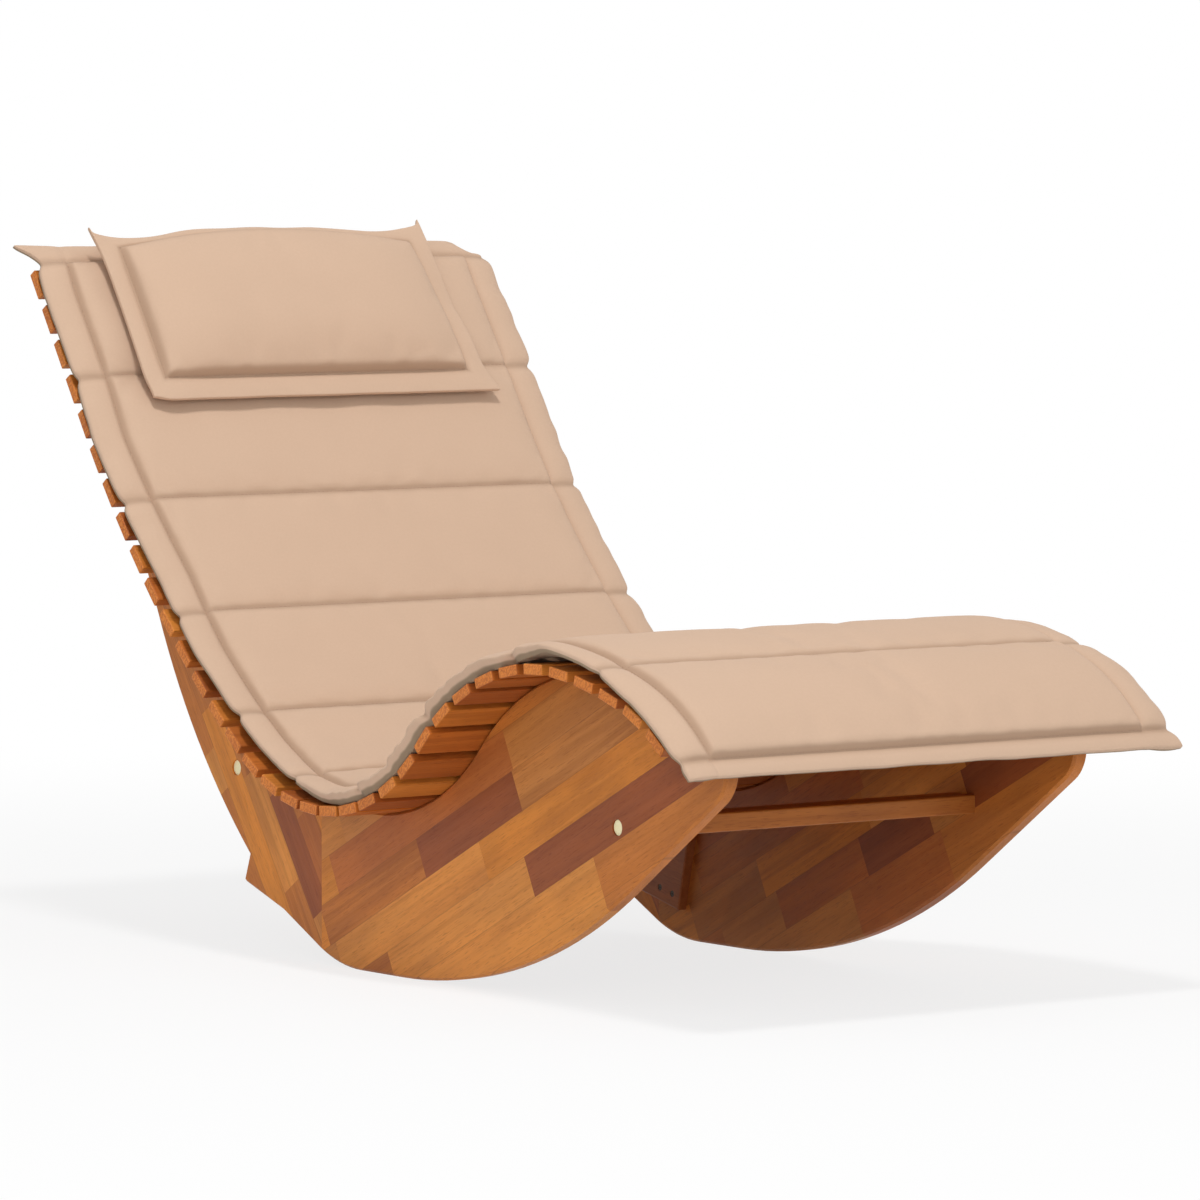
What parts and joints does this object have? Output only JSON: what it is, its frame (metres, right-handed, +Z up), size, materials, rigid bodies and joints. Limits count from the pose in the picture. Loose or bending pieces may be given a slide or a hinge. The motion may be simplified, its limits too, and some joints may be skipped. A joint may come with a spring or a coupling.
{
  "type": "sun lounger",
  "caption": "Rocking garden sun lounger: wave-shaped slatted wood bed on two curved side panels, with a quilted pad and a head pillow.",
  "frame": {"origin": "middle of the lounger's bounding footprint, on the floor that its rockers rest on", "axes": "+Z up, +Y towards the head end, +X to the right of someone lying on it face up with the head at +Y"},
  "size_m": [0.706, 1.4162, 0.8742],
  "materials": {
    "slat_wood": "oiled",
    "panel_wood": "oiled",
    "steel": "zinc plated",
    "cap_plastic": "satin",
    "pad_fabric": "woven",
    "pillow_fabric": "woven"
  },
  "bodies": {
    "root": {"slat_01": "slat_wood", "slat_02": "slat_wood", "slat_03": "slat_wood", "slat_04": "slat_wood", "slat_05": "slat_wood", "slat_06": "slat_wood", "slat_07": "slat_wood", "slat_08": "slat_wood", "slat_09": "slat_wood", "slat_10": "slat_wood", "slat_11": "slat_wood", "slat_12": "slat_wood", "slat_13": "slat_wood", "slat_14": "slat_wood", "slat_15": "slat_wood", "slat_16": "slat_wood", "slat_17": "slat_wood", "slat_18": "slat_wood", "slat_19": "slat_wood", "slat_20": "slat_wood", "slat_21": "slat_wood", "slat_22": "slat_wood", "slat_23": "slat_wood", "slat_24": "slat_wood", "slat_25": "slat_wood", "slat_26": "slat_wood", "slat_27": "slat_wood", "slat_28": "slat_wood", "slat_29": "slat_wood", "slat_30": "slat_wood", "slat_31": "slat_wood", "slat_32": "slat_wood", "slat_33": "slat_wood", "slat_34": "slat_wood", "slat_35": "slat_wood", "left_front_board": "panel_wood", "left_rear_board": "panel_wood", "right_front_board": "panel_wood", "right_rear_board": "panel_wood", "left_joint_batten": "panel_wood", "right_joint_batten": "panel_wood", "front_stretcher": "panel_wood", "rear_stretcher": "panel_wood", "left_slat_screws": "steel", "right_slat_screws": "steel", "left_batten_screws": "steel", "right_batten_screws": "steel", "left_panel_bolts": "steel", "right_panel_bolts": "steel", "front_barrel_nuts": "steel", "rear_barrel_nuts": "steel", "left_bolt_caps": "cap_plastic", "right_bolt_caps": "cap_plastic", "pad": "pad_fabric"},
    "pillow": {"pillow": "pillow_fabric"}
  },
  "joints": [
    {"name": "pillow_slide", "type": "slide", "parent": "root", "child": "pillow", "axis": [0, -0.5432, -0.8396], "range_m": [-0.03, 0.06]}
  ]
}
